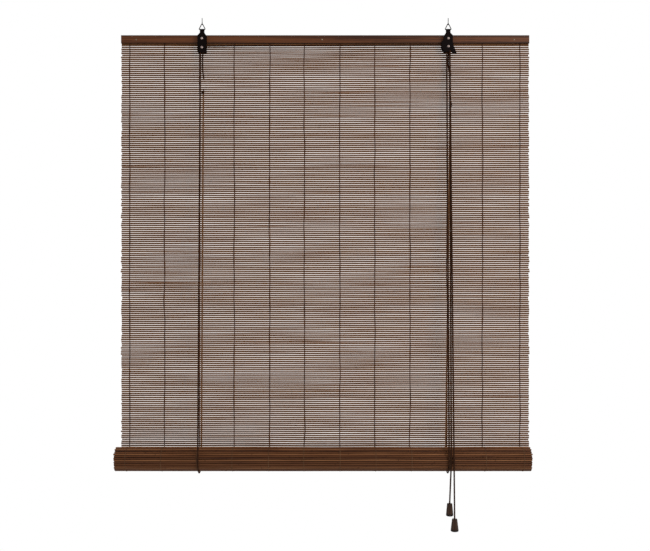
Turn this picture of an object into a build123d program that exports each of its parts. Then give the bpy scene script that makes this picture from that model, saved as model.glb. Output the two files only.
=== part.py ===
"""Bamboo roll up blind, half raised: a reed mat clamped between two head laths, rolled up at its
foot and carried by two lift cords that run over rollers in two folded steel brackets.

Millimetres. +X is to the right seen from the front, -Y is the front and +Z is up. The origin lies
midway between the screws of the two ceiling hooks, where their straight shanks begin.
"""
from build123d import *
from math import acos, asin, atan2, cos, degrees, hypot, pi, sin, sqrt, tan
import os

os.makedirs("parts", exist_ok=True)

# Wire of the hooks and rings
wire_radius = 0.8
ring_wire_radius = 1.0
hook_offset = 301.6
hook_shank = 9.0
hook_bow_radius = 3.0
hook_neck_radius = 1.6
hook_tip_turn = 195.0
ring_base = 16.6
ring_height = 14.0
ring_corner_radius = 1.9
ring_seat_gap = 0.05

# Folded sheet brackets, with drops measured down from the ring's base wire
sheet_thickness = 1.0
loop_clearance = 0.1
plate_gap = 12.0
neck_width = 11.0
neck_drop = 7.6
shoulder_drop = 15.0
bracket_width = 21.4
bracket_drop = 57.0
bracket_corner_radius = 1.5
lock_bracket_drop = 54.6
lock_flare = 6.2
lock_flare_start_drop = 25.6
lock_flare_top_drop = 30.0
lock_flare_foot_drop = 44.5
lock_foot_left = 11.0
lock_foot_right = 2.0
lock_right_drop = 42.4

# Rivets, nails, rollers and the lock pawl
rivet_radius = 1.1
rivet_head_radius = 3.1
rivet_head_height = 1.3
rivet_tail_radius = 2.6
rivet_tail_height = 0.8
fit_clearance = 0.05
hole_clearance = 0.1
left_axle_drop = 44.3
right_axle_drop = 41.8
roller_radius = 1.9
collar_radius = 3.0
collar_thickness = 0.5
nail_radius = 0.8
nail_head_radius = 2.0
nail_head_height = 0.7
nail_bite = 3.0
nail_inset = 37.0
middle_nail_x = -7.6
pawl_pin_x = 7.0
pawl_pin_drop = 30.0
pawl_pin_radius = 1.0
pawl_boss_radius = 3.2
pawl_face_drop = 39.0
pawl_teeth = 5
pawl_tooth_pitch = 2.4
pawl_tooth_depth = 0.7
pawl_shoulder_x = 12.9
pawl_shoulder_drop = 40.5
pawl_tail_x = 20.4
pawl_tail_drop = 58.8
pawl_tail_width = 8.2

# Head laths
blind_width = 1004.0
lath_drop = 11.4
lath_thickness = 5.0
front_lath_height = 19.9
back_lath_height = 23.4
clamp_drop = 10.9
lath_chamfer = 0.7

# Reed mat and its warp threads
reed_depth = 2.6
reed_pitch = 4.937
crest_height = 2.2
web_thickness = 0.8
gap_height = 2.4
side_web = 8.0
hanging_reeds = 210
thread_count = 12
thread_inset = 23.0
thread_crowding = 0.0202
thread_width = 1.6
thread_thickness = 0.6

# Roll at the foot of the mat
roll_overhang = 1.5
roll_shift = -5.3
roll_radius = 31.2
turn_spacing = 4.1
rolled_reeds = 122
inner_skin = 1.0
dowel_gap = 0.3

# Cords, knots and tassels
cord_radius = 1.5
touch_gap = 0.3
end_gap = 0.1
lane_gap = 0.5
tail_gap = 0.2
left_cord_foot_x = -305.7
right_cord_foot_x = 297.4
short_pull_foot_x = 302.6
long_pull_foot_x = 309.1
left_knot_x = -300.8
right_knot_x = 309.0
left_knot_drop = 152.6
right_knot_drop = 184.5
knot_half_width = 4.6
knot_half_height = 5.6
knot_stub = 9.0
knot_stub_radius = 1.2
elbow_radius = 2.2
left_tail_end_x = -298.0
right_tail_end_x = 309.0
left_tail_drop = 119.5
right_tail_drop = 110.8
tail_wrap = 250.0
short_tassel_x = 298.5
long_tassel_x = 310.4
short_tassel_drop = 1149.0
long_tassel_drop = 1186.0
tassel_height = 30.0
tassel_top_radius = 6.4
short_tassel_foot_radius = 9.0
long_tassel_foot_radius = 9.9
tassel_foot_round = 2.0
tassel_top_round = 1.0
tassel_recess_radius = 4.6
tassel_recess_depth = 9.0
end_knot_radius = 3.6

# Heights and depths that follow from these sizes
hook_turn = acos(hook_neck_radius / (hook_bow_radius + hook_neck_radius))
hook_bow_z = -(hook_bow_radius + hook_neck_radius) * sin(hook_turn)
ring_apex_z = hook_bow_z - hook_bow_radius + wire_radius + ring_wire_radius + ring_seat_gap
pivot_z = ring_apex_z - ring_height
lath_top = pivot_z - lath_drop
clamp_z = lath_top - clamp_drop
front_lath_foot = lath_top - front_lath_height
back_lath_foot = lath_top - back_lath_height
left_axle_z = pivot_z - left_axle_drop
right_axle_z = pivot_z - right_axle_drop
roll_z = lath_top - hanging_reeds * reed_pitch
roll_width = blind_width + 2 * roll_overhang
roll_left_x = roll_shift - roll_width / 2
plate_back = plate_gap / 2 + sheet_thickness
mat_front = plate_back + lath_thickness
mat_y = mat_front + reed_depth / 2
mat_back = mat_front + reed_depth
outer_turn_radius = roll_radius - reed_depth / 2
rolled_length = rolled_reeds * reed_pitch
inner_turn_radius = sqrt(outer_turn_radius**2 - rolled_length * turn_spacing / pi)
roll_y = mat_y - outer_turn_radius
wrap_radius = roller_radius + touch_gap + cord_radius
front_lane = -(2 * cord_radius + lane_gap)
middle_lane = 0.0
tail_lane = plate_gap / 2 - cord_radius - tail_gap
under_radius = roll_radius + thread_thickness + touch_gap + cord_radius
cord_front = roll_y - under_radius
cord_rear = roll_y + under_radius
last_thread = thread_count - 1
thread_spacing = (blind_width - 2 * thread_inset) / last_thread
thread_places = [
    thread_inset - blind_width / 2 + thread_spacing * k - thread_crowding * k * (last_thread**2 - k**2)
    for k in range(thread_count)
]
outer_nail_x = blind_width / 2 - nail_inset
nail_places = [(-outer_nail_x, clamp_z), (middle_nail_x, clamp_z), (outer_nail_x, clamp_z)]
rivet_places = [(-hook_offset, clamp_z), (hook_offset, clamp_z)]
axle_places = [(-hook_offset, left_axle_z), (hook_offset, right_axle_z)]
knot_places = [(left_knot_x, pivot_z - left_knot_drop), (right_knot_x, pivot_z - right_knot_drop)]


def save(piece, name):
    """Labels a finished piece and writes it under its name."""
    piece.part.label = name
    export_step(piece.part, f"parts/{name}.step")


def across(x, z, y):
    """Plane square to Y at (x, y, z), for holes that run back from it."""
    return Plane(origin=(x, y, z), x_dir=(1, 0, 0), z_dir=(0, -1, 0))


def turned(name, places, outline):
    """Pieces turned about axes along Y at the (x, z) places. The outline's points are radius and y,
    and a third value is the sagitta of the arc that leads to that point."""
    with BuildPart() as piece:
        for x, z in places:
            with BuildSketch(Plane.XY.offset(z)):
                with BuildLine():
                    for start, end in zip(outline, outline[1:] + outline[:1]):
                        first = (x + start[0], start[1])
                        last = (x + end[0], end[1])
                        if len(end) == 3:
                            SagittaArc(first, last, end[2])
                        else:
                            Line(first, last)
                make_face()
            revolve(axis=Axis((x, 0, z), (0, 1, 0)))
    save(piece, name)


def straight_cord(name, start, end, start_gap, foot_gap):
    """A taut stretch of cord from start to end, short of them by its two gaps."""
    run = Vector(*end) - Vector(*start)
    with BuildPart() as piece:
        with BuildSketch(Plane(origin=Vector(*start) + run.normalized() * start_gap, z_dir=run)):
            Circle(cord_radius)
        extrude(amount=run.length - start_gap - foot_gap)
    save(piece, name)


def hook(name, x):
    """Ceiling hook bent from one wire: straight shank, neck bend and open bow."""
    turn = degrees(hook_turn)
    with BuildPart() as piece:
        with BuildLine(Plane.YZ.offset(x)) as route:
            Line((0, hook_shank), (0, 0))
            CenterArc((hook_neck_radius, 0), hook_neck_radius, 180, turn)
            CenterArc((0, hook_bow_z), hook_bow_radius, turn, -turn - hook_tip_turn)
        with BuildSketch(Plane.XY.offset(hook_shank)):
            with Locations((x, 0)):
                Circle(wire_radius)
        sweep(path=route.line)
    save(piece, name)


def ring(name, x):
    """Triangular wire ring: its base lies in the bracket's loop and its apex in the hook's bow."""
    reach = hypot(ring_base / 2, ring_height - ring_corner_radius)
    leg_slope = atan2(ring_height - ring_corner_radius, ring_base / 2) + asin(ring_corner_radius / reach)
    corner_z = pivot_z + ring_base / 2 * tan(leg_slope)
    corners = [(x - ring_base / 2, pivot_z), (x + ring_base / 2, pivot_z), (x, corner_z)]
    with BuildPart() as piece:
        with BuildLine(Plane.XZ) as route:
            FilletPolyline(*corners, radius=ring_corner_radius, close=True)
        with BuildSketch(Plane(origin=route.line @ 0, z_dir=route.line % 0)):
            Circle(ring_wire_radius)
        sweep(path=route.line)
    save(piece, name)


def folded_bracket(name, x, drop, outline, holes):
    """One strap of sheet folded over the ring's base wire. From the side it is two plates with a
    loop at the top, and the outline is its shape from the front, cut through both plates."""
    loop_inside = ring_wire_radius + loop_clearance
    loop_outside = loop_inside + sheet_thickness
    foot = pivot_z - drop
    with BuildPart() as piece:
        with BuildSketch(Plane.YZ.offset(x)):
            with BuildLine():
                for side in (1, -1):
                    Polyline(
                        (side * loop_outside, pivot_z),
                        (side * loop_outside, pivot_z - neck_drop),
                        (side * plate_back, pivot_z - shoulder_drop),
                        (side * plate_back, foot),
                        (side * plate_gap / 2, foot),
                        (side * plate_gap / 2, pivot_z - shoulder_drop),
                        (side * loop_inside, pivot_z - neck_drop),
                        (side * loop_inside, pivot_z),
                    )
                CenterArc((0, pivot_z), loop_outside, 0, 180)
                CenterArc((0, pivot_z), loop_inside, 0, 180)
            make_face()
        extrude(amount=bracket_width, both=True)
        with BuildSketch(Plane.XZ):
            with BuildLine():
                Polyline(*[(x + across_x, pivot_z + up) for across_x, up in outline], close=True)
            make_face()
            fillet(vertices().group_by(Axis.Y)[0], bracket_corner_radius)
        extrude(amount=2 * plate_back, both=True, mode=Mode.INTERSECT)
        for hole_x, hole_z, radius in holes:
            with Locations(across(hole_x, hole_z, -2 * plate_back)):
                Hole(radius + hole_clearance, depth=4 * plate_back)
    save(piece, name)


def roller(name, place, last_lane):
    """Spacer roller on an axle rivet: collars hold its cord lanes, and its hub reaches the tail."""
    front = front_lane - cord_radius - lane_gap / 2
    back = last_lane + cord_radius + lane_gap / 2
    bore = rivet_radius + fit_clearance
    end = tail_lane - cord_radius - fit_clearance
    outline = [
        (bore, front - collar_thickness),
        (collar_radius, front - collar_thickness),
        (collar_radius, front),
        (roller_radius, front),
        (roller_radius, back),
        (collar_radius, back),
        (collar_radius, back + collar_thickness),
        (roller_radius, back + collar_thickness),
        (roller_radius, end),
        (bore, end),
    ]
    turned(name, [place], outline)


def under_cord(name, x):
    """Half turn of lift cord under the roll, from its front to its rear."""
    with BuildPart() as piece:
        with BuildLine(Plane.YZ.offset(x)) as route:
            CenterArc((roll_y, roll_z), under_radius, 180, 180)
        with BuildSketch(Plane.XY.offset(roll_z)):
            with Locations((x, cord_front)):
                Circle(cord_radius)
        sweep(path=route.line)
    save(piece, name)


def cord_knot(name, x, z):
    """Knot on the mat's front: the cord's neck passes through the mat and turns down behind it,
    and a cut stub stands up from the knot."""
    knot_y = mat_front - touch_gap - knot_half_width
    with BuildPart() as piece:
        with BuildSketch(Plane.XZ.offset(-knot_y)):
            with Locations((x, z)):
                Ellipse(knot_half_width, knot_half_height)
                Rectangle(
                    knot_half_width, 2 * knot_half_height, align=(Align.MAX, Align.CENTER), mode=Mode.SUBTRACT
                )
        revolve(axis=Axis((x, knot_y, 0), (0, 0, 1)))
        with BuildLine(Plane.YZ.offset(x)) as route:
            Line((knot_y, z), (cord_rear - elbow_radius, z))
            CenterArc((cord_rear - elbow_radius, z - elbow_radius), elbow_radius, 90, -90)
        with BuildSketch(across(x, z, knot_y)):
            Circle(cord_radius)
        sweep(path=route.line)
        with BuildSketch(Plane.XY.offset(z)):
            with Locations((x, knot_y)):
                Circle(knot_stub_radius)
        extrude(amount=knot_stub)
    save(piece, name)


def cord_tail(name, x, axle_z, end_x, drop):
    """Fixed end of a lift cord: hitched once round the axle rivet, its cut tail hanging down."""
    hitch_radius = rivet_radius + hole_clearance + cord_radius
    end_z = pivot_z - drop
    reach = hypot(end_x - x, end_z - axle_z)
    leave = atan2(end_z - axle_z, end_x - x) + acos(hitch_radius / reach)
    turn = degrees(leave)
    with BuildPart() as piece:
        with BuildLine(Plane.XZ.offset(-tail_lane)) as route:
            CenterArc((x, axle_z), hitch_radius, turn + tail_wrap, -tail_wrap)
            Line((x + hitch_radius * cos(leave), axle_z + hitch_radius * sin(leave)), (end_x, end_z))
        with BuildSketch(Plane(origin=route.line @ 0, z_dir=route.line % 0)):
            Circle(cord_radius)
        sweep(path=route.line)
    save(piece, name)


def tassel(name, x, top, foot_radius):
    """Bell shaped pull with a bore for the cord and a recess below for the cord's end knot."""
    bore = cord_radius + touch_gap
    foot = top - tassel_height
    ceiling = foot + tassel_recess_depth
    with BuildPart() as piece:
        with BuildSketch(Plane.XZ.offset(-cord_front)):
            with BuildLine():
                Polyline(
                    (x + bore, top),
                    (x + tassel_top_radius, top),
                    (x + foot_radius, foot),
                    (x + tassel_recess_radius, foot),
                    (x + tassel_recess_radius, ceiling),
                    (x + bore, ceiling),
                    close=True,
                )
            make_face()
            fillet(vertices().group_by(Axis.Y)[-1].sort_by(Axis.X)[-1], tassel_top_round)
            fillet(vertices().group_by(Axis.Y)[0].sort_by(Axis.X)[-1], tassel_foot_round)
        revolve(axis=Axis((x, cord_front, 0), (0, 0, 1)))
    save(piece, name)


def end_knot(name, x, top):
    """Knot in a tassel's recess, with the cord that runs up through the bore."""
    ceiling = top - tassel_height + tassel_recess_depth
    knot_z = ceiling - end_knot_radius - fit_clearance
    with BuildPart() as piece:
        with Locations((x, cord_front, knot_z)):
            Sphere(end_knot_radius)
        with BuildSketch(Plane.XY.offset(knot_z)):
            with Locations((x, cord_front)):
                Circle(cord_radius)
        extrude(amount=top - knot_z)
    save(piece, name)


# Ceiling hooks and the rings that hang in them
for side, x in (("left", -hook_offset), ("right", hook_offset)):
    hook(f"{side}_hook", x)
    ring(f"{side}_ring", x)

# Left bracket: a plain strap
strap_top = [(-neck_width / 2, 4 * ring_wire_radius), (neck_width / 2, 4 * ring_wire_radius)]
left_outline = [
    *strap_top,
    (neck_width / 2, -neck_drop),
    (bracket_width / 2, -shoulder_drop),
    (bracket_width / 2, -bracket_drop),
    (-bracket_width / 2, -bracket_drop),
    (-bracket_width / 2, -shoulder_drop),
    (-neck_width / 2, -neck_drop),
]
left_holes = [(-hook_offset, clamp_z, rivet_radius), (-hook_offset, left_axle_z, rivet_radius)]
folded_bracket("left_bracket", -hook_offset, bracket_drop, left_outline, left_holes)

# Right bracket: flared to the left round the cords and cut away for the pawl on the right
right_outline = [
    *strap_top,
    (neck_width / 2, -neck_drop),
    (bracket_width / 2, -shoulder_drop),
    (bracket_width / 2, -lock_right_drop),
    (lock_foot_right, -lock_bracket_drop),
    (-lock_foot_left, -lock_bracket_drop),
    (-bracket_width / 2 - lock_flare, -lock_flare_foot_drop),
    (-bracket_width / 2 - lock_flare, -lock_flare_top_drop),
    (-bracket_width / 2, -lock_flare_start_drop),
    (-bracket_width / 2, -shoulder_drop),
    (-neck_width / 2, -neck_drop),
]
pin_x = hook_offset + pawl_pin_x
pin_z = pivot_z - pawl_pin_drop
right_holes = [
    (hook_offset, clamp_z, rivet_radius),
    (hook_offset, right_axle_z, rivet_radius),
    (pin_x, pin_z, pawl_pin_radius),
]
folded_bracket("right_bracket", hook_offset, lock_bracket_drop, right_outline, right_holes)

# Rivets: the upper pair clamps brackets and laths, the lower pair carries the rollers
for name, places, back in (
    ("clamp_rivets", rivet_places, mat_back + lath_thickness),
    ("axle_rivets", axle_places, plate_back),
):
    rivet_outline = [
        (0, -plate_back - rivet_head_height),
        (rivet_head_radius, -plate_back, -rivet_head_height / 3),
        (rivet_radius, -plate_back),
        (rivet_radius, back),
        (rivet_tail_radius, back),
        (rivet_tail_radius, back + rivet_tail_height),
        (0, back + rivet_tail_height),
    ]
    turned(name, places, rivet_outline)

# Three nails through the front lath and the mat into the back lath
nail_outline = [
    (0, plate_back - nail_head_height),
    (nail_head_radius, plate_back, -nail_head_height / 3),
    (nail_radius, plate_back),
    (nail_radius, mat_back + nail_bite),
    (0, mat_back + nail_bite),
]
turned("lath_nails", nail_places, nail_outline)

# Rollers: one cord lane on the left, two on the right
roller("left_roller", axle_places[0], front_lane)
roller("right_roller", axle_places[1], middle_lane)

# Pawl: a wedge with a toothed face against the two pull cords, and a tail to tilt it by
pawl_face_x = hook_offset + wrap_radius + cord_radius + touch_gap
pawl_face_top = pivot_z - pawl_face_drop
tooth_points = []
for tooth in range(pawl_teeth):
    tooth_top = pawl_face_top - tooth * pawl_tooth_pitch
    tooth_points.append((pawl_face_x + pawl_tooth_depth, tooth_top))
    tooth_points.append((pawl_face_x, tooth_top - pawl_tooth_pitch))
tail = (hook_offset + pawl_tail_x, pivot_z - pawl_tail_drop)
with BuildPart() as lock_pawl:
    with BuildSketch(Plane.XZ.offset(-cord_radius)):
        with BuildLine():
            Polyline(
                (pin_x - pawl_boss_radius, pin_z),
                *tooth_points,
                (tail[0] - pawl_tail_width, tail[1]),
                tail,
                (hook_offset + pawl_shoulder_x, pivot_z - pawl_shoulder_drop),
                (pin_x + pawl_boss_radius, pin_z),
                close=True,
            )
        make_face()
        with Locations((pin_x, pin_z)):
            Circle(pawl_boss_radius)
            Circle(pawl_pin_radius + fit_clearance, mode=Mode.SUBTRACT)
    extrude(amount=cord_radius - front_lane + cord_radius)
save(lock_pawl, "lock_pawl")

with BuildPart() as pawl_pin:
    with BuildSketch(across(pin_x, pin_z, plate_back)):
        Circle(pawl_pin_radius)
    extrude(amount=2 * plate_back)
save(pawl_pin, "pawl_pin")

# Front head lath
with BuildPart() as front_lath:
    with Locations((0, plate_back, lath_top)):
        Box(blind_width, lath_thickness, front_lath_height, align=(Align.CENTER, Align.MIN, Align.MAX))
    chamfer(edges().filter_by(Axis.X), lath_chamfer)
    for places, radius in ((rivet_places, rivet_radius), (nail_places, nail_radius)):
        with Locations(*[across(x, z, plate_back) for x, z in places]):
            Hole(radius + hole_clearance, depth=lath_thickness)
save(front_lath, "front_lath")

# Back head lath, a little taller, with blind holes for the nails
with BuildPart() as back_lath:
    with Locations((0, mat_back, lath_top)):
        Box(blind_width, lath_thickness, back_lath_height, align=(Align.CENTER, Align.MIN, Align.MAX))
    chamfer(edges().filter_by(Axis.X), lath_chamfer)
    with Locations(*[across(x, z, mat_back) for x, z in rivet_places]):
        Hole(rivet_radius + hole_clearance, depth=lath_thickness)
    with Locations(*[across(x, z, mat_back) for x, z in nail_places]):
        Hole(nail_radius + hole_clearance, depth=nail_bite + hole_clearance)
save(back_lath, "back_lath")

# Hanging mat: a wall with a ridge for each reed and a gap between every second pair
front_side = [(mat_y - web_thickness / 2, lath_top)]
for reed in range(hanging_reeds):
    reed_z = lath_top - (reed + 0.5) * reed_pitch
    front_side.append((mat_front, reed_z + crest_height / 2))
    front_side.append((mat_front, reed_z - crest_height / 2))
    front_side.append((mat_y - web_thickness / 2, reed_z - reed_pitch / 2))
back_side = [(2 * mat_y - y, z) for y, z in reversed(front_side)]
covered_reeds = int(back_lath_height / reed_pitch) + 2
gap_places = [(0, lath_top - reed * reed_pitch) for reed in range(covered_reeds, hanging_reeds, 2)]
with BuildPart() as mat:
    with BuildSketch(Plane.YZ.offset(-blind_width / 2)):
        with BuildLine():
            Polyline(*front_side, *back_side, close=True)
        make_face()
    extrude(amount=blind_width)
    with BuildSketch(Plane.XZ.offset(-mat_back)):
        with Locations(*gap_places):
            Rectangle(blind_width - 2 * side_web, gap_height)
    extrude(amount=reed_depth, mode=Mode.SUBTRACT)
    for places, radius in ((rivet_places, rivet_radius), (nail_places, nail_radius), (knot_places, cord_radius)):
        with Locations(*[across(x, z, mat_front) for x, z in places]):
            Hole(radius + hole_clearance, depth=reed_depth)
save(mat, "mat")

# Warp threads that bind the reeds, one in front of the mat and one behind at each place
with BuildPart() as warp_threads:
    with BuildSketch(Plane.XY.offset(roll_z)):
        for x in thread_places:
            with Locations((x, mat_front - thread_thickness / 2), (x, mat_back + thread_thickness / 2)):
                Rectangle(thread_width, thread_thickness)
    extrude(amount=back_lath_foot - touch_gap - roll_z)
save(warp_threads, "warp_threads")


def on_turns(along, offset):
    """Point on the roll's spiral at a length along the mat from its inner end, offset outwards.
    The spiral's outer end is level with the roll's centre, where the hanging mat meets it."""
    radius = sqrt(inner_turn_radius**2 + turn_spacing * along / pi)
    angle = (radius - outer_turn_radius) * 2 * pi / turn_spacing
    return roll_y + (radius + offset) * cos(angle), roll_z + (radius + offset) * sin(angle)


# Roll: all its turns are one spiral strip with a ridge for each reed
outside = [on_turns(0, web_thickness / 2)]
inside = [on_turns(0, -inner_skin)]
for reed in range(rolled_reeds):
    centre = (reed + 0.5) * reed_pitch
    outside.append(on_turns(centre - crest_height / 2, reed_depth / 2))
    outside.append(on_turns(centre + crest_height / 2, reed_depth / 2))
    valley = min(centre + reed_pitch / 2, rolled_length - touch_gap)
    outside.append(on_turns(valley, web_thickness / 2))
    inside.append(on_turns(valley, -inner_skin))
with BuildPart() as mat_roll:
    with BuildSketch(Plane.YZ.offset(roll_left_x)):
        with BuildLine():
            Polyline(*outside, *reversed(inside), close=True)
        make_face()
    extrude(amount=roll_width)
save(mat_roll, "mat_roll")

# Dowel that the mat's foot is tied to, in the middle of the roll
half_reed = reed_pitch / 2 / inner_turn_radius
dowel_radius = (inner_turn_radius - inner_skin) * cos(half_reed) - dowel_gap
with BuildPart() as roll_dowel:
    with BuildSketch(Plane.YZ.offset(roll_left_x)):
        with Locations((roll_y, roll_z)):
            Circle(dowel_radius)
    extrude(amount=roll_width)
save(roll_dowel, "roll_dowel")

# Left lift cord: knot, down behind the mat, under the roll, up the front and across the head
for side, foot_x, (knot_x, knot_z) in (
    ("left", left_cord_foot_x, knot_places[0]),
    ("right", right_cord_foot_x, knot_places[1]),
):
    cord_knot(f"{side}_knot", knot_x, knot_z)
    rear_top = (knot_x, cord_rear, knot_z - elbow_radius)
    straight_cord(f"{side}_rear_cord", rear_top, (foot_x, cord_rear, roll_z), end_gap, touch_gap)
    under_cord(f"{side}_under_cord", foot_x)

left_front_top = (-hook_offset - wrap_radius, front_lane, left_axle_z)
left_front_foot = (left_cord_foot_x, cord_front, roll_z)
straight_cord("left_front_cord", left_front_top, left_front_foot, end_gap, touch_gap)
right_front_top = (hook_offset - wrap_radius, middle_lane, right_axle_z)
right_front_foot = (right_cord_foot_x, cord_front, roll_z)
straight_cord("right_front_cord", right_front_top, right_front_foot, end_gap, touch_gap)

# Cross cord: the left cord from its roller to the right bracket and over the right roller
slope = atan2(right_axle_z - left_axle_z, 2 * hook_offset)
leave = pi / 2 + slope
with BuildPart() as cross_cord:
    with BuildLine(Plane.XZ.offset(-front_lane)) as route:
        first = CenterArc((-hook_offset, left_axle_z), wrap_radius, 180, degrees(leave) - 180)
        last = CenterArc((hook_offset, right_axle_z), wrap_radius, degrees(leave), -degrees(leave))
        Line(first @ 1, last @ 0)
    with BuildSketch(Plane.XY.offset(left_axle_z)):
        with Locations((-hook_offset - wrap_radius, front_lane)):
            Circle(cord_radius)
    sweep(path=route.line)
save(cross_cord, "cross_cord")

# Right lift cord's half turn over its roller
with BuildPart() as roller_cord:
    with BuildLine(Plane.XZ.offset(-middle_lane)) as route:
        CenterArc((hook_offset, right_axle_z), wrap_radius, 180, -180)
    with BuildSketch(Plane.XY.offset(right_axle_z)):
        with Locations((hook_offset - wrap_radius, middle_lane)):
            Circle(cord_radius)
    sweep(path=route.line)
save(roller_cord, "roller_cord")

# Pull cords, from the right roller down over the roll's front to their tassels
for size, lane, foot_x, tassel_x, drop, foot_radius in (
    ("short", middle_lane, short_pull_foot_x, short_tassel_x, short_tassel_drop, short_tassel_foot_radius),
    ("long", front_lane, long_pull_foot_x, long_tassel_x, long_tassel_drop, long_tassel_foot_radius),
):
    tassel_top = pivot_z - drop
    pull_top = (hook_offset + wrap_radius, lane, right_axle_z)
    pull_bend = (foot_x, cord_front, roll_z)
    straight_cord(f"{size}_pull_upper", pull_top, pull_bend, end_gap, touch_gap)
    straight_cord(f"{size}_pull_lower", pull_bend, (tassel_x, cord_front, tassel_top), 0, touch_gap)
    tassel(f"{size}_tassel", tassel_x, tassel_top, foot_radius)
    end_knot(f"{size}_end_knot", tassel_x, tassel_top)

# Cut tails of the lift cords' fixed ends
cord_tail("left_cord_tail", -hook_offset, left_axle_z, left_tail_end_x, left_tail_drop)
cord_tail("right_cord_tail", hook_offset, right_axle_z, right_tail_end_x, right_tail_drop)
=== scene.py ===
"""Looks of the bamboo roll up blind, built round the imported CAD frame.

Metres, in the row frame: +X right, -Y the front, +Z up. Meshes are grids of points that numpy works
out as whole arrays, and every finish is worked out by shader nodes.
"""

import bpy
import numpy as np
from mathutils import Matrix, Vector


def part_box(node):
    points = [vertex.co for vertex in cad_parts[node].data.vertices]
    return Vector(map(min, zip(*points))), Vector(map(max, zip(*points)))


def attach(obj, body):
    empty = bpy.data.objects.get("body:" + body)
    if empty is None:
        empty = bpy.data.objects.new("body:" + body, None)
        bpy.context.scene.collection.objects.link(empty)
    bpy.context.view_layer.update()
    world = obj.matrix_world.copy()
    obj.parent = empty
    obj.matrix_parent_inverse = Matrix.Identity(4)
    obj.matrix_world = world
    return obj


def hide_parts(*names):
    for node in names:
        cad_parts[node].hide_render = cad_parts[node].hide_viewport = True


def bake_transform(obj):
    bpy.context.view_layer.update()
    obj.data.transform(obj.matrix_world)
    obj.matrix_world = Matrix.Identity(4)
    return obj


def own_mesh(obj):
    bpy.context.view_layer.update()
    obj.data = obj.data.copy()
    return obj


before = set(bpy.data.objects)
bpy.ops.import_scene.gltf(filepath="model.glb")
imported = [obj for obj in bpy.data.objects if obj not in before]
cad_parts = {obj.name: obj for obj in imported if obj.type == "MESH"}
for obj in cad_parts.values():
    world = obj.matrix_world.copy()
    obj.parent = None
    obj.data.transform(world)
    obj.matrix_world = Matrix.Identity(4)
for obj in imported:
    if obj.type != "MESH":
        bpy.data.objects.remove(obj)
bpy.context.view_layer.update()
random = np.random.default_rng(11)

# The mat, with every reed and gap. Its first reed starts a little below the laths' top, inside them.
reed_depth = 0.0026
reed_height = 0.0041
hanging_reeds = 210
rolled_reeds = 122
hanging_pitch = 0.004932
first_reed_drop = 0.0017
reed_stations = 49
reed_sides = 6
end_raggedness = 0.0008
shared_wander = 0.0004
own_wander = 0.004
turn_spacing = 0.0041
outer_turn_radius = 0.0299
thread_radius = 0.0005
front_thread_half_width = 0.0011
thread_wander = 0.0006
thread_start = 0.0004
rolled_thread_length = 0.175
thread_x = np.array([-0.4816, -0.3957, -0.3093, -0.2242, -0.1365, -0.0514,
                     0.0361, 0.1224, 0.2089, 0.3003, 0.3876, 0.4798])

# The cords. Lanes are the depths at which they run side by side in the head.
cord_radius = 0.0015
cord_fluff = 0.0006
cord_twist_length = 0.009
roll_cord_radius = 0.0017
tail_radius = 0.0019
knot_cord_radius = 0.0015
end_knot_cord_radius = 0.0013
roller_wrap = 0.0037
rivet_wrap = 0.0027
front_lane = -0.0035
middle_lane = 0.0
tail_lane = 0.0043
knot_reach = 0.0049
knot_half_height = 0.0056
knot_elbow = 0.0022
knot_size = 0.00098
end_knot_size = 0.0007
end_knot_height = 0.005
end_knot_neck = 0.011
left_tail_x = -0.298
right_tail_x = 0.309
short_pull_foot_x = 0.3026
long_pull_foot_x = 0.3091
lift = 0.82

# The tassels
tassel_flutes = 12
tassel_sides = 96
flute_depth = 0.0006
tassel_top_radius = 0.0064
tassel_foot_bend = 0.0026
tassel_top_bend = 0.001
recess_radius = 0.0046
recess_depth = 0.009
bore_radius = 0.0018

# The floor
floor_z = -3.0
floor_radius = 2.6
floor_corners = 96


def middle(node):
    """Middle of a CAD node's box."""
    low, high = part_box(node)
    return (low + high) / 2


# Heights and depths read from the CAD nodes
lath_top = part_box("front_lath")[1].z
front_lath_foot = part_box("front_lath")[0].z
back_lath_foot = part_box("back_lath")[0].z
mat_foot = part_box("mat")[0].z
mat_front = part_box("mat")[0].y
mat_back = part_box("mat")[1].y
mat_y = (mat_front + mat_back) / 2
roll_z = mat_foot
roll_y = mat_y - outer_turn_radius
half_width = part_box("mat")[1].x
roll_x = middle("mat_roll").x
half_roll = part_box("mat_roll")[1].x - roll_x
reed_pitch = (lath_top - mat_foot) / hanging_reeds
cord_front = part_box("left_under_cord")[0].y + cord_radius
cord_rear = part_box("left_under_cord")[1].y - cord_radius


# Camera and light

def add_camera():
    """Level camera opposite the middle of the blind, 2.3 m in front of its head lath."""
    camera = bpy.data.cameras.new("camera")
    camera.lens = 51.8
    camera.sensor_width = 36
    holder = bpy.data.objects.new("camera", camera)
    holder.location = (-0.0004, -2.293, -0.6219)
    holder.rotation_euler = (np.pi / 2, 0, 0)
    bpy.context.collection.objects.link(holder)
    bpy.context.scene.camera = holder


def add_area(name, place, target, size, power, tint):
    """Square area light at a place, turned to face the target."""
    light = bpy.data.lights.new(name, "AREA")
    light.size = size
    light.energy = power
    light.color = tint
    holder = bpy.data.objects.new(name, light)
    holder.location = place
    aim = np.subtract(target, place)
    tilt = np.arctan2(np.hypot(aim[0], aim[1]), -aim[2])
    holder.rotation_euler = (tilt, 0, np.arctan2(-aim[0], aim[1]))
    bpy.context.collection.objects.link(holder)


# Shader nodes written as arithmetic

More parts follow.
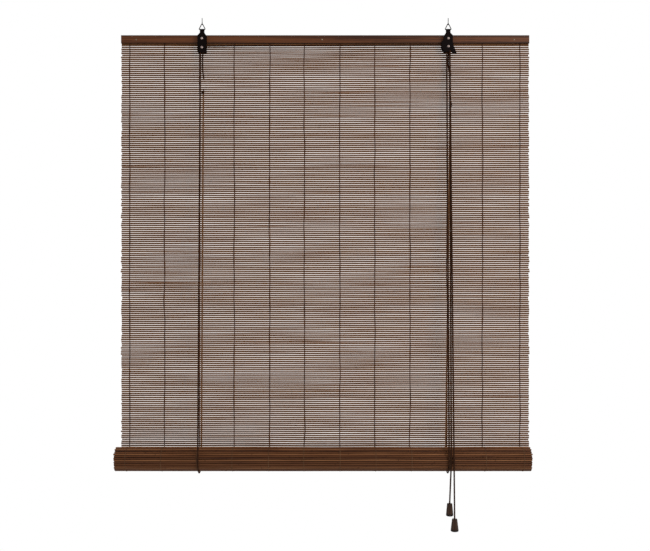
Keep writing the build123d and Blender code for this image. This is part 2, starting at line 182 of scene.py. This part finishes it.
class Socket:
    """An output of a material's node tree. Arithmetic on it adds a Math node and returns its output."""

    def __init__(self, tree, out):
        self.tree = tree
        self.out = out

    def node(self, kind, inputs, output=0, **settings):
        """Adds a node of that kind, sets its properties, feeds its inputs and returns one output."""
        made = self.tree.nodes.new(kind)
        for name, value in settings.items():
            setattr(made, name, value)
        for key, value in inputs.items():
            if isinstance(value, Socket):
                self.tree.links.new(value.out, made.inputs[key])
            else:
                made.inputs[key].default_value = value
        return Socket(self.tree, made.outputs[output])

    def math(self, operation, *others):
        return self.node("ShaderNodeMath", dict(enumerate((self, *others))), operation=operation)

    def __add__(self, other):
        return self.math("ADD", other)

    def __mul__(self, other):
        return self.math("MULTIPLY", other)

    def __sub__(self, other):
        return self.math("SUBTRACT", other)

    def __truediv__(self, other):
        return self.math("DIVIDE", other)

    def __rsub__(self, other):
        return self * -1 + other

    __radd__ = __add__
    __rmul__ = __mul__

    def fraction(self):
        return self.math("FRACT")

    def within(self, low, high):
        """0 below low, 1 above high, and a smooth step between."""
        inputs = {"Value": self, "From Min": low, "From Max": high}
        return self.node("ShaderNodeMapRange", inputs, interpolation_type="SMOOTHSTEP")

    def scaled(self, x, y, z):
        """This vector with its parts multiplied."""
        return self.node("ShaderNodeVectorMath", {0: self, 1: (x, y, z)}, operation="MULTIPLY")

    def moved(self, other):
        """This vector with another one added."""
        return self.node("ShaderNodeVectorMath", {0: self, 1: other}, operation="ADD")

    def part(self, axis):
        return self.node("ShaderNodeSeparateXYZ", {0: self}, output=axis)

    def noise(self, scale, detail=3, roughness=0.55):
        """Noise from 0 to 1 at this place."""
        inputs = {"Vector": self, "Scale": scale, "Detail": detail, "Roughness": roughness}
        return self.node("ShaderNodeTexNoise", inputs)

    def between(self, first, second):
        """The first colour where this is 0 and the second where it is 1."""
        inputs = {0: self, 6: first, 7: second}
        return self.node("ShaderNodeMix", inputs, output=2, data_type="RGBA")

    def bump(self, strength, distance):
        """Normal that treats this as a height."""
        inputs = {"Height": self, "Strength": strength, "Distance": distance}
        return self.node("ShaderNodeBump", inputs)


class Finish:
    """A material with its Object coordinates, its named mesh values and its surface."""

    def __init__(self, name):
        self.material = bpy.data.materials.new(name)
        self.material.use_nodes = True
        self.tree = self.material.node_tree
        self.surface = self.tree.nodes["Principled BSDF"]
        self.place = Socket(self.tree, self.tree.nodes.new("ShaderNodeTexCoord").outputs["Object"])

    def value(self, name):
        """A mesh attribute of that name."""
        return self.place.node("ShaderNodeAttribute", {}, output=2, attribute_name=name)

    def set(self, **inputs):
        """Feeds the surface's inputs, whose names have an underscore for each space."""
        for name, value in inputs.items():
            target = self.surface.inputs[name.replace("_", " ")]
            if isinstance(value, Socket):
                self.tree.links.new(value.out, target)
            else:
                target.default_value = value


def colour(red, green, blue):
    """A colour given as it looks on a screen, from 0 to 255, made linear."""
    screen = np.array((red, green, blue)) / 255
    return (*(((screen + 0.055) / 1.055) ** 2.4), 1)


def seen_directly(tree):
    """1 for rays from the camera and for the rays that a gloss or a glass sends on, otherwise 0."""
    rays = tree.nodes.new("ShaderNodeLightPath")
    camera, gloss, glass = (Socket(tree, rays.outputs[f"Is {kind} Ray"])
                            for kind in ("Camera", "Glossy", "Transmission"))
    return (camera + gloss + glass).math("MINIMUM", 1.0)


def add_surroundings():
    """White where the camera looks past the blind, and a plain light that is weaker from below."""
    world = bpy.data.worlds.new("surroundings")
    bpy.context.scene.world = world
    world.use_nodes = True
    tree = world.node_tree
    sky = tree.nodes["Background"]
    height = Socket(tree, tree.nodes.new("ShaderNodeTexCoord").outputs["Generated"]).part(2)
    light = height.within(-0.8, 0.4) * 0.55 + 0.4
    sky.inputs["Color"].default_value = (1, 1, 1, 1)
    tree.links.new(light.math("MAXIMUM", seen_directly(tree)).out, sky.inputs["Strength"])


def add_floor():
    """Pale round floor far below. It keeps the blind's shadow and fades into the white around it."""
    turn = np.linspace(0, 2 * np.pi, floor_corners, endpoint=False)
    rim = np.stack([np.cos(turn), np.sin(turn), np.zeros(floor_corners)], axis=1) * floor_radius
    rim = rim + (0, 0, floor_z)
    mesh = bpy.data.meshes.new("floor")
    mesh.from_pydata(rim, [], [list(range(floor_corners))])
    paint = bpy.data.materials.new("floor_paint")
    paint.use_nodes = True
    tree = paint.node_tree
    surface = tree.nodes["Principled BSDF"]
    surface.inputs["Base Color"].default_value = (0.86, 0.86, 0.86, 1)
    surface.inputs["Roughness"].default_value = 0.9
    surface.inputs["Specular IOR Level"].default_value = 0.0
    place = Socket(tree, tree.nodes.new("ShaderNodeTexCoord").outputs["Object"]).scaled(1, 1, 0)
    reach = place.node("ShaderNodeVectorMath", {0: place}, 1, operation="LENGTH")
    white = tree.nodes.new("ShaderNodeEmission")
    blend = tree.nodes.new("ShaderNodeMixShader")
    fade = reach.within(0.35 * floor_radius, 0.95 * floor_radius)
    tree.links.new((fade * seen_directly(tree)).out, blend.inputs[0])
    tree.links.new(surface.outputs[0], blend.inputs[1])
    tree.links.new(white.outputs[0], blend.inputs[2])
    tree.links.new(blend.outputs[0], tree.nodes["Material Output"].inputs["Surface"])
    mesh.materials.append(paint)
    floor = bpy.data.objects.new("floor", mesh)
    bpy.context.collection.objects.link(floor)


def reed_finish(name, dark, mid, pale, edge, variety):
    """Stained split reed: a tone for each reed, long streaks along X, a dark ring at each joint of the
    cane, and another colour along each reed's two edges that face its neighbours. On the roll that
    colour is near black, painted shade in the valleys between the reeds."""
    finish = Finish(name)
    tone = finish.value("tone")
    along = finish.place.part(0)
    spread = {0: along * 6, 1: tone * 40, 2: finish.place.part(2) * 900}
    spread = finish.place.node("ShaderNodeCombineXYZ", spread)
    streak = spread.noise(1.0, 4, 0.6)
    spot = finish.place.scaled(9, 60, 220).noise(1.0, 2)
    ring = (along * 4.3 + tone * 7.7).fraction().math("COMPARE", 0.5, 0.006)
    level = (tone - 0.5) * variety + streak * 0.4 + spot * 0.6
    base = level.within(0.0, 0.5).between(dark, mid)
    base = level.within(0.45, 1.0).between(base, pale)
    # Colour along the edges that face the neighbouring reeds. On the roll it is painted shade in the
    # valleys between them.
    base = (finish.value("edge") * 0.9).between(base, edge)
    base = (ring * 0.4).between(base, dark)
    relief = (streak + ring * 0.4).bump(0.35, 0.0004)
    finish.set(Base_Color=base, Roughness=0.66 - streak * 0.2, Normal=relief, Specular_IOR_Level=0.12)
    return finish.material


def lath_finish():
    """Varnished red brown wood with fine grain along X, darker along the top edge, and painted shade,
    near black, below the front lath's foot.
    """
    finish = Finish("lath_wood")
    grain = finish.place.scaled(3, 90, 260).noise(1.0, 6, 0.62)
    broad = finish.place.scaled(1.6, 12, 30).noise(1.0, 3)
    pores = finish.place.scaled(30, 500, 900).noise(1.0, 2).within(0.55, 0.75)
    level = grain * 0.7 + broad * 0.5 - pores * 0.12
    base = level.within(0.46, 0.7).between(colour(36, 14, 4), colour(88, 50, 26))
    rise = finish.place.part(2)
    # Painted shade: near black below the front lath's foot, on its lowest edge and on the back lath seen
    # behind the reeds. The top band is only darker.
    edge = rise.within(lath_top - 0.0038, lath_top - 0.0016)
    edge = edge + 1 - rise.within(front_lath_foot + 0.0006, front_lath_foot + 0.0026)
    base = (edge * 0.75).between(base, colour(24, 9, 4))
    finish.set(Base_Color=base, Roughness=0.52 - grain * 0.18, Normal=grain.bump(0.2, 0.0003))
    finish.set(Specular_IOR_Level=0.12)
    return finish.material


def dowel_finish():
    """Bare pale wood with rings seen at its ends."""
    finish = Finish("dowel_wood")
    grain = finish.place.scaled(4, 160, 160).noise(1.0, 5)
    base = grain.within(0.3, 0.7).between(colour(150, 112, 70), colour(190, 152, 104))
    finish.set(Base_Color=base, Roughness=0.7, Normal=grain.bump(0.2, 0.0003))
    return finish.material


def metal_finish(name, dark, pale, metallic, roughness, specular=0.5):
    """Painted or plated metal with fine unevenness and rubbed patches."""
    finish = Finish(name)
    rubbed = finish.place.noise(420, 4)
    fine = finish.place.noise(2600, 2)
    base = rubbed.within(0.35, 0.75).between(dark, pale)
    shine = rubbed * 0.2 + fine * 0.1 + (roughness - 0.15)
    finish.set(Base_Color=base, Roughness=shine, Metallic=metallic, Normal=fine.bump(0.12, 0.0002))
    finish.set(Specular_IOR_Level=specular)
    return finish.material


def cord_finish():
    """Dark twisted cord with lighter crowns, painted shade in the grooves between its strands, and a
    fine fuzz of fibres.
    """
    finish = Finish("cord_fibre")
    crown = finish.value("crown")
    fibres = finish.place.scaled(3000, 3000, 700).noise(1.0, 3)
    wear = finish.place.noise(26, 3)
    # Painted shade: the grooves between the strands are darker than the crowns. The wear noise is the
    # cord's own.
    level = (crown * 0.6 + wear * 0.5).within(0.2, 1.0)
    base = level.between(colour(22, 10, 5), colour(64, 39, 24))
    finish.set(Base_Color=base, Roughness=0.85, Specular_IOR_Level=0.06)
    finish.set(Normal=fibres.bump(0.5, 0.0002))
    return finish.material


def thread_finish(name, dark, pale):
    """Thin spun thread."""
    finish = Finish(name)
    fibres = finish.place.noise(3000, 2)
    base = finish.place.noise(30, 3).within(0.3, 0.7).between(dark, pale)
    finish.set(Base_Color=base, Roughness=0.9, Specular_IOR_Level=0.1)
    finish.set(Normal=fibres.bump(0.4, 0.0002))
    return finish.material


def tassel_finish():
    """Dark stained turned wood, with the ridges between its flutes painted paler as highlight lines, and
    nearly black below.
    """
    finish = Finish("tassel_wood")
    ridge = finish.value("ridge")
    foot = finish.value("foot")
    grain = finish.place.scaled(700, 700, 60).noise(1.0, 4)
    # Painted highlight: the ridges between the flutes are paler than the hollows.
    level = (ridge * 0.5 + grain * 0.6).within(0.3, 1.0)
    base = level.between(colour(26, 13, 7), colour(74, 52, 38))
    base = (foot * 0.8).between(base, colour(8, 4, 3))
    finish.set(Base_Color=base, Roughness=0.45 - grain * 0.1, Normal=grain.bump(0.2, 0.0003))
    finish.set(Specular_IOR_Level=0.12)
    return finish.material


# Meshes from grids of points

def tube_faces(tubes, stations, sides):
    """Walls and ends of closed tubes whose points are numbered by tube, then station, then side."""
    corner = np.arange(tubes * stations * sides).reshape(tubes, stations, sides)
    beside = np.roll(corner, -1, axis=2)
    walls = np.stack([corner[:, :-1], beside[:, :-1], beside[:, 1:], corner[:, 1:]], axis=-1)
    ends = np.concatenate([corner[:, 0, ::-1], corner[:, -1]])
    return walls.reshape(-1, 4).tolist() + ends.tolist()


def new_piece(name, points, faces, material, body, node_names, **values):
    """An object at the origin. Each keyword adds a mesh value, one number for each point."""
    mesh = bpy.data.meshes.new(name)
    mesh.from_pydata(np.asarray(points).reshape(-1, 3), [], faces)
    mesh.polygons.foreach_set("use_smooth", [True] * len(mesh.polygons))
    mesh.set_sharp_from_angle(angle=1.2)
    for key, numbers in values.items():
        mesh.attributes.new(key, "FLOAT", "POINT").data.foreach_set("value", np.ravel(numbers))
    mesh.materials.append(material)
    piece = bpy.data.objects.new(name, mesh)
    bpy.context.collection.objects.link(piece)
    if body:
        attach(piece, body)
    if node_names:
        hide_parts(*node_names)
    return piece


def blurred(rows, width):
    """Each row run through a window of that many stations."""
    return np.array([np.convolve(row, np.hanning(width), mode="same") for row in rows])


def smooth_noise(rows, stations, reach):
    """Rows of even noise along the stations, blurred over reach stations, with a spread of 1."""
    rough = random.normal(size=(rows, stations + 4 * reach))
    soft = blurred(rough, 2 * reach + 1)[:, 2 * reach:-2 * reach]
    return soft / soft.std()


def reeds(name, middles, outward, centre_x, half_length, unevenness, material, body, node_names):
    """Split reeds side by side along X.

    A reed's point is its middle, plus its half depth times cos a outwards, plus its half height times
    sin a and a slow wander, both along the mat. The wander is one that neighbouring reeds share plus a
    smaller one of the reed's own. Middles and outward are (y, z) for each reed.
    """
    count, stations, sides = len(middles), reed_stations, reed_sides
    reach = half_length + random.normal(0, end_raggedness, (count, 1))
    x = centre_x + np.linspace(-1, 1, stations) * reach
    shared = blurred(blurred(smooth_noise(stations, count, 5), 17).T, 17)
    own = own_wander * unevenness * smooth_noise(count, stations, 5)
    wander = shared_wander * shared / shared.std() + own
    swell = 1 + unevenness * (smooth_noise(count, stations, 4) + random.normal(size=(count, 1)))
    angle = (np.arange(sides) + 0.5) * 2 * np.pi / sides
    depth = reed_depth / 2 * np.clip(swell, 0.7, 1.1)[..., None] * np.cos(angle)
    height = reed_height / 2 * np.clip(swell, 0.75, 1.2)[..., None] * np.sin(angle)
    height = height + wander[..., None]
    upward = np.stack([-outward[:, 1], outward[:, 0]], axis=1)
    points = np.zeros((count, stations, sides, 3))
    points[..., 0] = x[..., None]
    for axis in (0, 1):
        out = depth * outward[:, axis, None, None]
        up = height * upward[:, axis, None, None]
        points[..., axis + 1] = middles[:, axis, None, None] + out + up
    tone = np.broadcast_to(random.uniform(0, 1, (count, 1, 1)), points.shape[:3])
    edge = np.broadcast_to((np.abs(np.sin(angle)) > 0.9) * 1.0, points.shape[:3])
    faces = tube_faces(count, stations, sides)
    return new_piece(name, points, faces, material, body, node_names, tone=tone, edge=edge)


def spiral(along, offset=0.0):
    """(y, z) on the roll's spiral at lengths along the mat from its inner end, moved outwards."""
    length = rolled_reeds * reed_pitch
    inner = np.sqrt(outer_turn_radius**2 - length * turn_spacing / np.pi)
    radius = np.sqrt(inner**2 + turn_spacing * along / np.pi)
    angle = (radius - outer_turn_radius) * 2 * np.pi / turn_spacing
    outward = np.stack([np.cos(angle), np.sin(angle)], axis=-1)
    return np.array([roll_y, roll_z]) + (radius + offset)[..., None] * outward, outward


def strands(name, lines, half_width, material, body, node_names):
    """Threads along lines of (x, y, z) points in the YZ plane, wider along X than they are deep."""
    ahead = np.gradient(lines, axis=1)
    ahead /= np.linalg.norm(ahead, axis=2, keepdims=True)
    aside = np.array([1.0, 0, 0])
    inward = np.cross(ahead, aside)
    inward /= np.linalg.norm(inward, axis=2, keepdims=True)
    aside = np.cross(inward, ahead)
    sides = 4
    angle = np.arange(sides) * 2 * np.pi / sides
    across = half_width * np.cos(angle)[:, None] * aside[:, :, None]
    deep = thread_radius * np.sin(angle)[:, None] * inward[:, :, None]
    faces = tube_faces(lines.shape[0], lines.shape[1], sides)
    return new_piece(name, lines[:, :, None] + across + deep, faces, material, body, node_names)


def arched(phase):
    """Distance of a thread's middle from the mat's middle: over each reed and down into each gap."""
    arch = (reed_depth / 2 + thread_radius * 0.8) * np.abs(np.sin(phase)) ** 0.5
    return np.maximum(arch, thread_radius)


def hanging_threads(name, side, head, half_width, material, node_names):
    """Warp threads on one side of the hanging mat: y arches over each reed and dips in each gap."""
    stations = (hanging_reeds - 3) * 3
    z = np.linspace(head, mat_foot, stations)
    phase = (lath_top - first_reed_drop - z) / hanging_pitch * np.pi
    lines = np.zeros((len(thread_x), stations, 3))
    lines[..., 0] = thread_x[:, None] + thread_wander * smooth_noise(len(thread_x), stations, 30)
    lines[..., 1] = mat_y + side * arched(phase)
    lines[..., 2] = z
    return strands(name, lines, half_width, material, None, node_names)


def rolled_threads(name, material):
    """Warp threads over the roll's outer turn, which is the mat's back."""
    length = rolled_reeds * reed_pitch
    along = np.linspace(length - rolled_thread_length, length - 0.001, 175)
    turn = spiral(along, arched(along / reed_pitch * np.pi))[0]
    lines = np.zeros((len(thread_x), len(along), 3))
    lines[..., 0] = thread_x[:, None]
    lines[..., 1:] = turn
    return strands(name, lines, thread_radius, material, "roll", ())


def route_line(points, spacing=0.0007):
    """Points read from a NURBS spline with those control points, evenly spaced along it."""
    curve = bpy.data.curves.new("route", "CURVE")
    curve.dimensions = "3D"
    curve.resolution_u = 24
    spline = curve.splines.new("NURBS")
    spline.points.add(len(points) - 1)
    spline.points.foreach_set("co", np.column_stack([points, np.ones(len(points))]).ravel())
    spline.order_u = 3
    spline.use_endpoint_u = True
    holder = bpy.data.objects.new("route", curve)
    mesh = bpy.data.meshes.new_from_object(holder)
    line = np.array([corner.co for corner in mesh.vertices])
    bpy.data.objects.remove(holder)
    bpy.data.curves.remove(curve)
    bpy.data.meshes.remove(mesh)
    run = np.concatenate([[0], np.cumsum(np.linalg.norm(np.diff(line, axis=0), axis=1))])
    even = np.linspace(0, run[-1], max(int(run[-1] / spacing), 8))
    return np.stack([np.interp(even, run, line[:, axis]) for axis in range(3)], axis=1), even


def twisted_cord(name, points, body, node_names, radius=cord_radius + cord_fluff):
    """Cord of three twisted strands: its radius is full on the crowns and a little less in the grooves,
    and the crowns turn once round the cord in every twist length."""
    line, along = route_line(points)
    ahead = np.gradient(line, axis=0)
    ahead /= np.linalg.norm(ahead, axis=1, keepdims=True)
    aside = np.zeros_like(ahead)
    start = np.cross(ahead[0], (0.1, 0.3, 0.2))
    for station, direction in enumerate(ahead):
        start = start - direction * start.dot(direction)
        start /= np.linalg.norm(start)
        aside[station] = start
    inward = np.cross(ahead, aside)
    sides = 9
    turn = np.arange(sides) * 2 * np.pi / sides
    angle = turn + along[:, None] * 2 * np.pi / cord_twist_length
    crown = np.broadcast_to(0.5 + 0.5 * np.cos(3 * turn), angle.shape)
    reach = radius * (0.82 + 0.18 * crown)
    wall = line[:, None] + (reach * np.cos(angle))[..., None] * aside[:, None]
    wall = wall + (reach * np.sin(angle))[..., None] * inward[:, None]
    faces = tube_faces(1, len(line), sides)
    piece = new_piece(name, wall, faces, cord_fibre, body, node_names, crown=crown)
    return piece, line


def straight(start, end):
    """Route of a taut stretch, with a point six diameters from each of its ends."""
    start, end = np.array(start), np.array(end)
    step = (end - start) / np.linalg.norm(end - start) * 12 * cord_radius
    return [start, start + step, end - step, end]


def over_roller(x, z, radius):
    """Corners of the square half round a roller on its left, its top and its right."""
    return [(x - radius, z), (x - radius, z + radius), (x + radius, z + radius), (x + radius, z)]


def in_lane(places, y):
    """Points in the XZ plane, put into a cord's lane."""
    return [(x, y, z) for x, z in places]


def overhand(place, size):
    """Route of an overhand knot round a place: three lobes that pass over and under one another."""
    lobes = [(-0.9, 0.6, 0.5), (-1.3, -1.5, -2.0), (0.0, -0.2, -3.3), (1.4, 1.6, -2.0),
             (0.9, 0.6, 0.5), (-0.9, -1.6, 2.2), (-2.9, -0.2, 1.8), (-2.4, 1.6, -0.2),
             (0.0, 0.2, -1.2), (2.4, -1.6, -0.2), (2.9, 0.0, 1.7), (1.2, 1.5, 2.6)]
    return [np.add(place, np.multiply(lobe, size)) for lobe in lobes]


def shorten(piece, top_z):
    """Gives a stretch of cord between a height in the head and the roll its own mesh. The share of it
    that would stay as the roll lifts is worked out but not used.
    """
    keep = 1 - lift / (top_z - roll_z)
    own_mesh(piece)


def distance(start, end):
    """Distance between two points, to the nearest millimetre."""
    return round(float(np.linalg.norm(np.subtract(end, start))), 3)


def lift_cord(side, axle, lane):
    """One lift cord's stretches behind the mat, under the roll and before it."""
    knot = middle(f"{side}_knot")
    knot_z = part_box(f"{side}_knot")[0].z + knot_half_height
    knot_y = mat_front - knot_reach
    foot_x = middle(f"{side}_under_cord").x
    half = (cord_rear - cord_front) / 2
    corner = half * np.tan(np.pi / 8)
    rear_top = (knot.x, cord_rear, knot_z - knot_elbow)
    rear = straight(rear_top, (foot_x, cord_rear, roll_z))
    rear = twisted_cord(f"{side}_rear_lift_cord", rear, "head", [f"{side}_rear_cord"])[0]
    shorten(rear, rear_top[2])
    under = [(foot_x, cord_front, roll_z), (foot_x, cord_front, roll_z - corner),
             (foot_x, cord_front + half - corner, roll_z - half),
             (foot_x, cord_front + half + corner, roll_z - half),
             (foot_x, cord_rear, roll_z - corner), (foot_x, cord_rear, roll_z)]
    twisted_cord(f"{side}_roll_cord", under, "cradle", [f"{side}_under_cord"], roll_cord_radius)
    front = straight((axle.x - roller_wrap, lane, axle.z), (foot_x, cord_front, roll_z))
    front = twisted_cord(f"{side}_front_lift_cord", front, "head", [f"{side}_front_cord"])[0]
    shorten(front, axle.z)
    place = (knot.x, knot_y, knot_z)
    neck = [rear_top, (knot.x, cord_rear, knot_z), (knot.x, mat_front, knot_z)]
    stub = [np.add(place, (0.0022, -0.0004, 0.0052)), np.add(place, (0.0006, 0, 0.0088))]
    route = [*neck, *overhand(place, knot_size), *stub]
    twisted_cord(f"{side}_lift_cord_knot", route, "head", [f"{side}_knot"], knot_cord_radius)


def tassel(node, body):
    """Fluted bell: a profile of radius and height turned about the cord, whose wall moves in and out by
    the cosine of the flutes times the angle, fading out at the top and at the rounded foot."""
    low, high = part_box(node)
    place = middle(node)
    foot_radius = (high.x - low.x) / 2
    bend = np.linspace(0, np.pi / 2, 7)
    down = np.linspace(0, 1, 22)[1:-1]
    wall_top = high.z - tassel_top_bend
    wall_foot = low.z + tassel_foot_bend
    recess_top = low.z + recess_depth
    radius = np.concatenate([
        tassel_top_radius - tassel_top_bend + tassel_top_bend * np.sin(bend),
        tassel_top_radius + (foot_radius - tassel_top_radius) * down,
        foot_radius - tassel_foot_bend + tassel_foot_bend * np.cos(bend),
        [recess_radius + 0.0006, recess_radius, recess_radius, bore_radius, bore_radius],
    ])
    height = np.concatenate([
        wall_top + tassel_top_bend * np.cos(bend),
        wall_top + (wall_foot - wall_top) * down,
        wall_foot - tassel_foot_bend * np.sin(bend),
        [low.z, low.z + 0.0006, recess_top, recess_top, high.z],
    ])
    fade = np.concatenate([np.zeros(7), np.sin(down * np.pi) ** 0.5, np.zeros(12)])
    foot = np.concatenate([np.zeros(7), np.clip(down * 8 - 6.7, 0, 1), np.ones(12)])
    turn = np.arange(tassel_sides) * 2 * np.pi / tassel_sides
    wave = np.cos(tassel_flutes * turn)
    reach = radius[:, None] - flute_depth * fade[:, None] * (0.5 - 0.5 * wave)
    points = np.stack([place.x + reach * np.cos(turn), place.y + reach * np.sin(turn),
                       np.broadcast_to(height[:, None], reach.shape)], axis=-1)
    corner = np.arange(reach.size).reshape(reach.shape)
    below = np.roll(corner, -1, axis=0)
    faces = [corner, below, np.roll(below, -1, axis=1), np.roll(corner, -1, axis=1)]
    faces = np.stack(faces, axis=-1).reshape(-1, 4).tolist()
    ridge = fade[:, None] * (0.5 + 0.5 * wave) + 0.4 * (1 - fade[:, None])
    foot = np.broadcast_to(foot[:, None], ridge.shape)
    piece = new_piece(f"{node}_bell", points, faces, tassel_wood, body, [node], ridge=ridge, foot=foot)
    return piece


def finish_nodes(material, *names):
    """Gives carried over CAD nodes their material."""
    for name in names:
        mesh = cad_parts[name].data
        mesh.materials.clear()
        mesh.materials.append(material)


# The scene: camera, light and finishes first, then the pieces

bpy.context.scene.view_settings.view_transform = "Standard"
add_camera()
add_surroundings()
add_floor()
add_area("key", (1.6, -2.2, 0.4), (0, 0, -0.55), 1.2, 42, (1, 0.97, 0.93))

reed_wood = reed_finish("reed_wood", colour(44, 26, 13), colour(74, 49, 28), colour(106, 78, 50),
                        colour(154, 104, 64), 0.2)
# The roll's near black edge colour is painted shade in the valleys between the rolled reeds.
roll_wood = reed_finish("roll_wood", colour(34, 12, 2), colour(86, 50, 25), colour(130, 88, 55),
                        colour(26, 8, 2), 0.5)
cord_fibre = cord_finish()
tassel_wood = tassel_finish()
dark_thread = thread_finish("dark_thread", colour(38, 19, 10), colour(68, 41, 26))
pale_thread = thread_finish("pale_thread", colour(74, 50, 34), colour(104, 78, 56))

# Lift cords, from their knots down behind the mat, under the roll and up its front
left_axle = middle("left_roller")
right_axle = middle("right_roller")
lift_cord("left", left_axle, front_lane)
lift_cord("right", right_axle, middle_lane)

# The left cord crosses to the right bracket, and both turn over its roller
over_left = over_roller(left_axle.x, left_axle.z, roller_wrap)
over_right = over_roller(right_axle.x, right_axle.z, roller_wrap)
across = in_lane(over_left[:3] + over_right[1:], front_lane)
twisted_cord("head_cord", across, "head", ["cross_cord"])
twisted_cord("right_roller_cord", in_lane(over_right, middle_lane), "head", ["roller_cord"])

# Pull cords and their tassels
pulls = (("short", middle_lane, short_pull_foot_x), ("long", front_lane, long_pull_foot_x))
for size, lane, foot_x in pulls:
    top = (right_axle.x + roller_wrap, lane, right_axle.z)
    bend = (foot_x, cord_front, roll_z)
    bell = middle(f"{size}_tassel")
    bell_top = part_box(f"{size}_tassel")[1].z
    bell_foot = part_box(f"{size}_tassel")[0].z
    upper, line = twisted_cord(f"{size}_pull_cord", straight(top, bend), "head",
                               [f"{size}_pull_upper"])
    shorten(upper, top[2])
    bell_piece = tassel(f"{size}_tassel", f"{size}_tassel")
    knot = (bell.x, cord_front, bell_foot + end_knot_height)
    end = (bell.x, cord_front, bell_top)
    neck = (bell.x, cord_front, bell_foot + end_knot_neck)
    inside = [end, neck, *overhand(knot, end_knot_size)]
    knot_piece = twisted_cord(f"{size}_pull_knot", inside, f"{size}_tassel", [f"{size}_end_knot"],
                              end_knot_cord_radius)[0]
    lower, line = twisted_cord(f"{size}_pull_cord_foot", straight(bend, end), None,
                               [f"{size}_pull_lower"])
    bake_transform(lower)

# Cut tails of the lift cords, hitched once round the axle rivets
tails = (("left", left_axle, left_tail_x), ("right", right_axle, right_tail_x))
for side, axle, end_x in tails:
    hitch = [(-0.34, -0.94), (-1, -1), (-1, 1), (1, 1), (1, -1)]
    places = [(axle.x + x * rivet_wrap, axle.z + z * rivet_wrap) for x, z in hitch]
    end_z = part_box(f"{side}_cord_tail")[0].z + 0.0001
    hang = [(axle.x + 0.0009, axle.z - 0.014), (axle.x + 0.0002, end_z + 0.03),
            (axle.x + 0.0016, end_z + 0.012), (end_x, end_z)]
    route = in_lane([*places, *hang], tail_lane)
    tail, line = twisted_cord(f"{side}_cut_tail", route, "head", [f"{side}_cord_tail"], tail_radius)

# Hanging mat
hanging_z = lath_top - first_reed_drop - (np.arange(hanging_reeds) + 0.5) * hanging_pitch
hanging_middles = np.stack([np.full(hanging_reeds, mat_y), hanging_z], axis=1)
hanging_outward = np.tile([-1.0, 0.0], (hanging_reeds, 1))
mat_reeds = reeds("mat_reeds", hanging_middles, hanging_outward, 0, half_width, 0.022, reed_wood,
                  None, ["mat"])
front_threads = hanging_threads("front_threads", -1, front_lath_foot - thread_start,
                                front_thread_half_width, dark_thread, ["warp_threads"])
back_threads = hanging_threads("back_threads", 1, back_lath_foot - thread_start, thread_radius,
                               pale_thread, [])
for piece in (mat_reeds, front_threads, back_threads):
    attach(piece, "head")
    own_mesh(piece)

# Roll
rolled_middles, rolled_outward = spiral((np.arange(rolled_reeds) + 0.5) * reed_pitch)
roll_reeds = reeds("roll_reeds", rolled_middles, rolled_outward, roll_x, half_roll, 0.05, roll_wood,
                   "roll", ["mat_roll"])
rolled_threads("roll_threads", pale_thread)

finish_nodes(lath_finish(), "front_lath", "back_lath")
finish_nodes(dowel_finish(), "roll_dowel")
wire = metal_finish("wire", colour(14, 11, 9), colour(40, 34, 30), 0.5, 0.5, 0.15)
finish_nodes(wire, "left_hook", "right_hook", "left_ring", "right_ring")
paint = metal_finish("bracket_paint", colour(4, 1, 1), colour(17, 6, 5), 0.0, 0.5, 0.03)
finish_nodes(paint, "left_bracket", "right_bracket", "lock_pawl", "pawl_pin")
rivet = metal_finish("rivet_steel", colour(116, 100, 96), colour(178, 164, 158), 1.0, 0.4)
finish_nodes(rivet, "clamp_rivets", "axle_rivets")
nail = metal_finish("nail_steel", colour(90, 76, 62), colour(140, 124, 106), 0.9, 0.5)
finish_nodes(nail, "lath_nails")
plastic = metal_finish("roller_plastic", colour(24, 22, 21), colour(40, 37, 35), 0.0, 0.6, 0.2)
finish_nodes(plastic, "left_roller", "right_roller")
